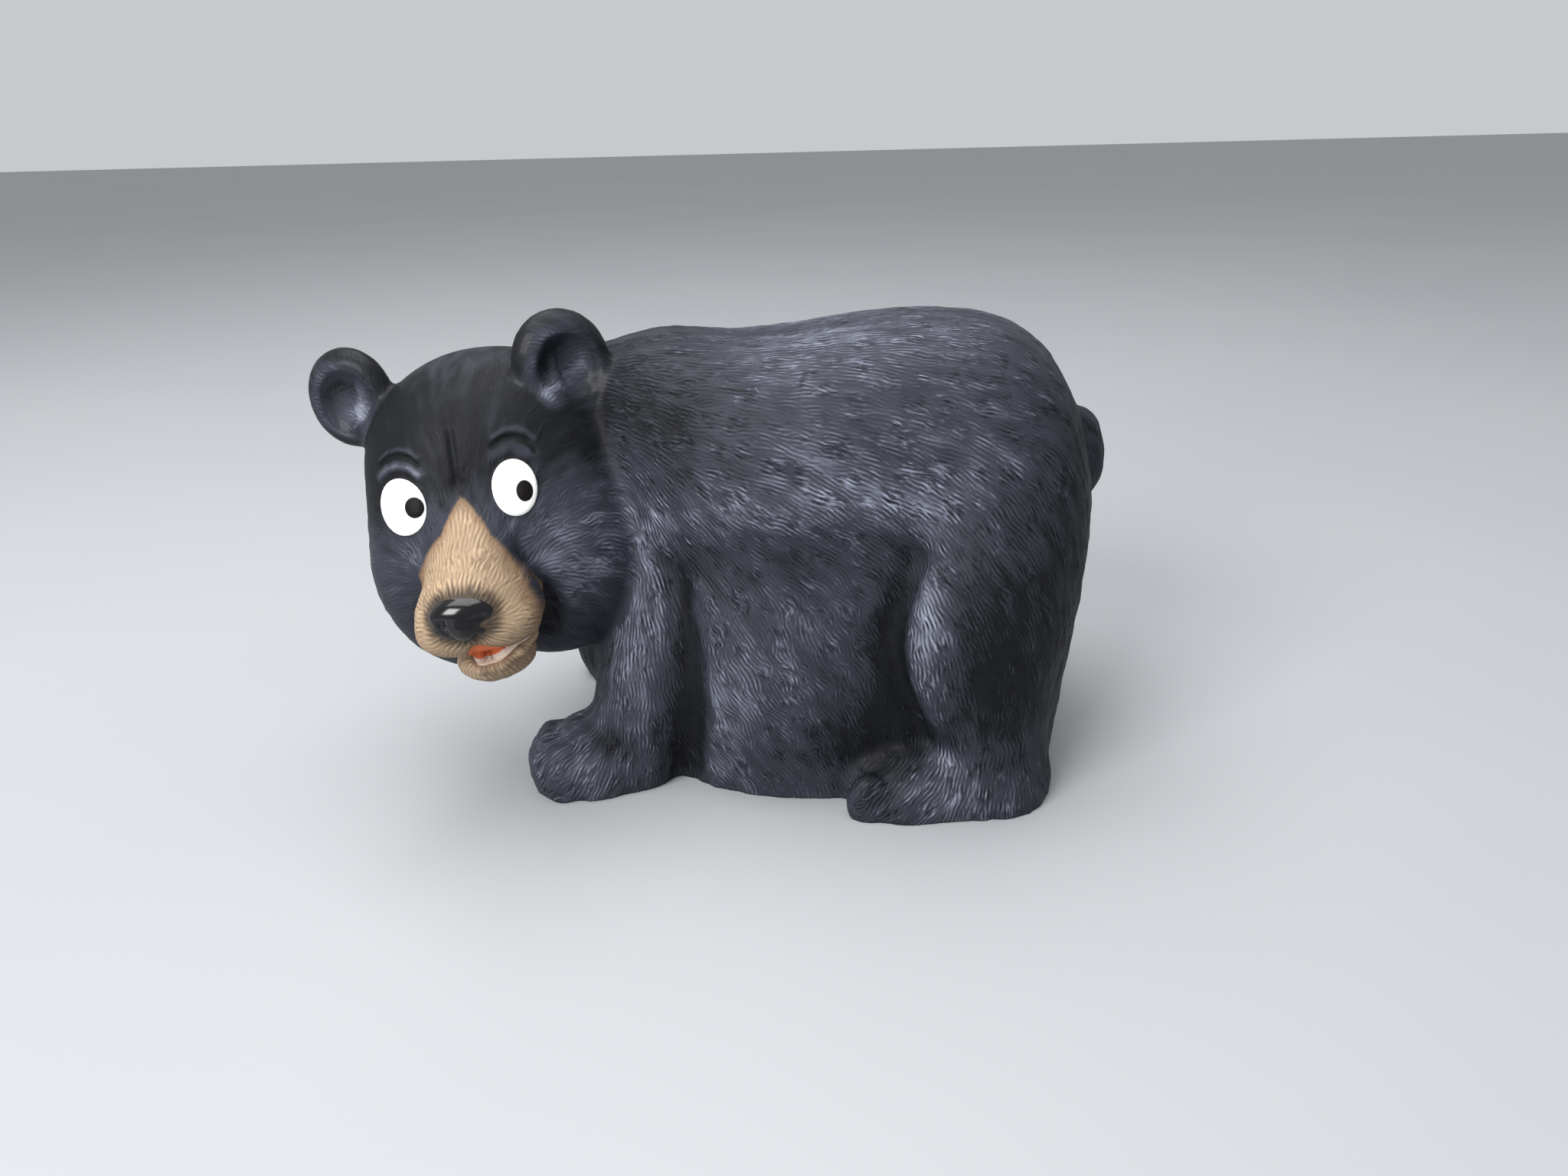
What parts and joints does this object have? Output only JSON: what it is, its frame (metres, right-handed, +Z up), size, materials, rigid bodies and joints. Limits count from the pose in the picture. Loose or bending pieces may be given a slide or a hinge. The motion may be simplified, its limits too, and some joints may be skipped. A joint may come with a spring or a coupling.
{
  "type": "bear tissue box cover",
  "caption": "Standing bear with a turned, smiling head, cast hollow as a cover for a cube box of paper tissues, which come out of an oval mouth in the rump.",
  "frame": {"origin": "middle of the underside, on the surface that the bear stands on", "axes": "+X along the body towards the rump, -Y the side that the face looks to, +Z up"},
  "size_m": [0.3208, 0.1899, 0.1903],
  "materials": {
    "painted_resin": "cast resin with carved fur, hand painted bluish black with dry-brushed grey strokes, a tan muzzle, white eyes and a gloss black nose"
  },
  "bodies": {
    "root": {"bear_cover": "painted_resin"}
  },
  "joints": []
}
